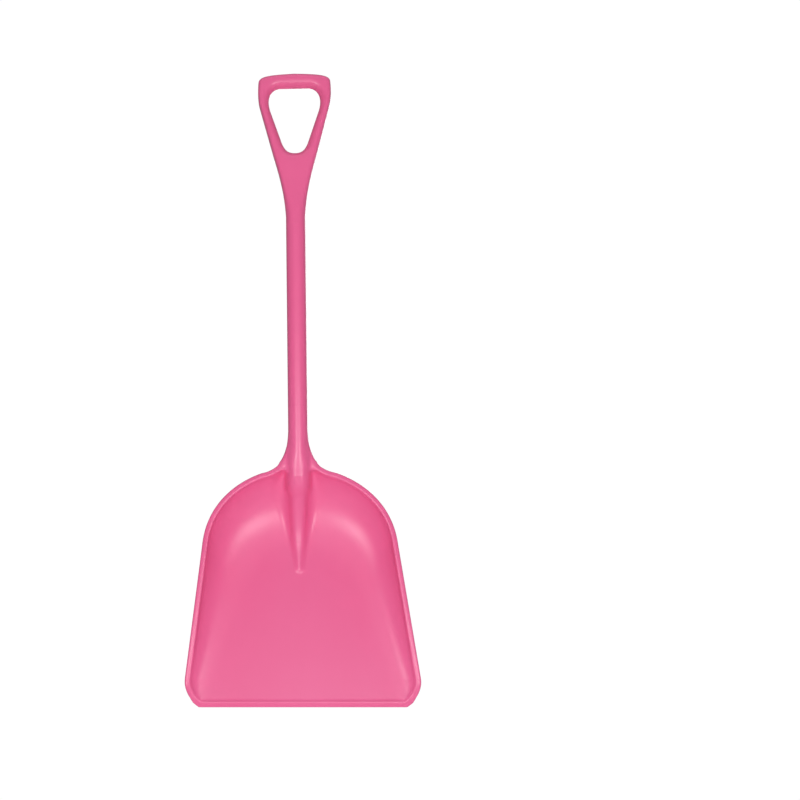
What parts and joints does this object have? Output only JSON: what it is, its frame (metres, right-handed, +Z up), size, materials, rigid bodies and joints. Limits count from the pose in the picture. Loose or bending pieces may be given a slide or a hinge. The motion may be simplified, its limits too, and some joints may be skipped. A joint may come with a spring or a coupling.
{
  "type": "grain scoop shovel",
  "caption": "One-piece moulded plastic grain scoop shovel with a deep spoon-shaped blade, a centre rib, a round shaft and a D grip.",
  "frame": {"origin": "bottom centre of the shovel's bounding box, with the shovel upright and the grip at the top", "axes": "+Z up the shaft towards the grip, -Y out of the open side of the scoop, +X to the right when the open side is faced"},
  "size_m": [0.3506, 0.0922, 0.9804],
  "materials": {
    "moulded_plastic": "semi-gloss pink polypropylene with a fine moulded texture"
  },
  "bodies": {
    "root": {"blade_floor": "moulded_plastic", "cutting_lip": "moulded_plastic", "rear_wall": "moulded_plastic", "rear_rim": "moulded_plastic", "left_shoulder_wall": "moulded_plastic", "right_shoulder_wall": "moulded_plastic", "left_side_wall": "moulded_plastic", "right_side_wall": "moulded_plastic", "left_corner_wall": "moulded_plastic", "right_corner_wall": "moulded_plastic", "left_shoulder_rim": "moulded_plastic", "right_shoulder_rim": "moulded_plastic", "left_side_rim": "moulded_plastic", "right_side_rim": "moulded_plastic", "left_corner_rim": "moulded_plastic", "right_corner_rim": "moulded_plastic", "centre_rib": "moulded_plastic", "rib_tongue": "moulded_plastic", "shaft": "moulded_plastic", "neck": "moulded_plastic", "left_neck_web": "moulded_plastic", "right_neck_web": "moulded_plastic", "yoke": "moulded_plastic", "left_grip_arm": "moulded_plastic", "right_grip_arm": "moulded_plastic", "grip_crossbar": "moulded_plastic"}
  },
  "joints": []
}
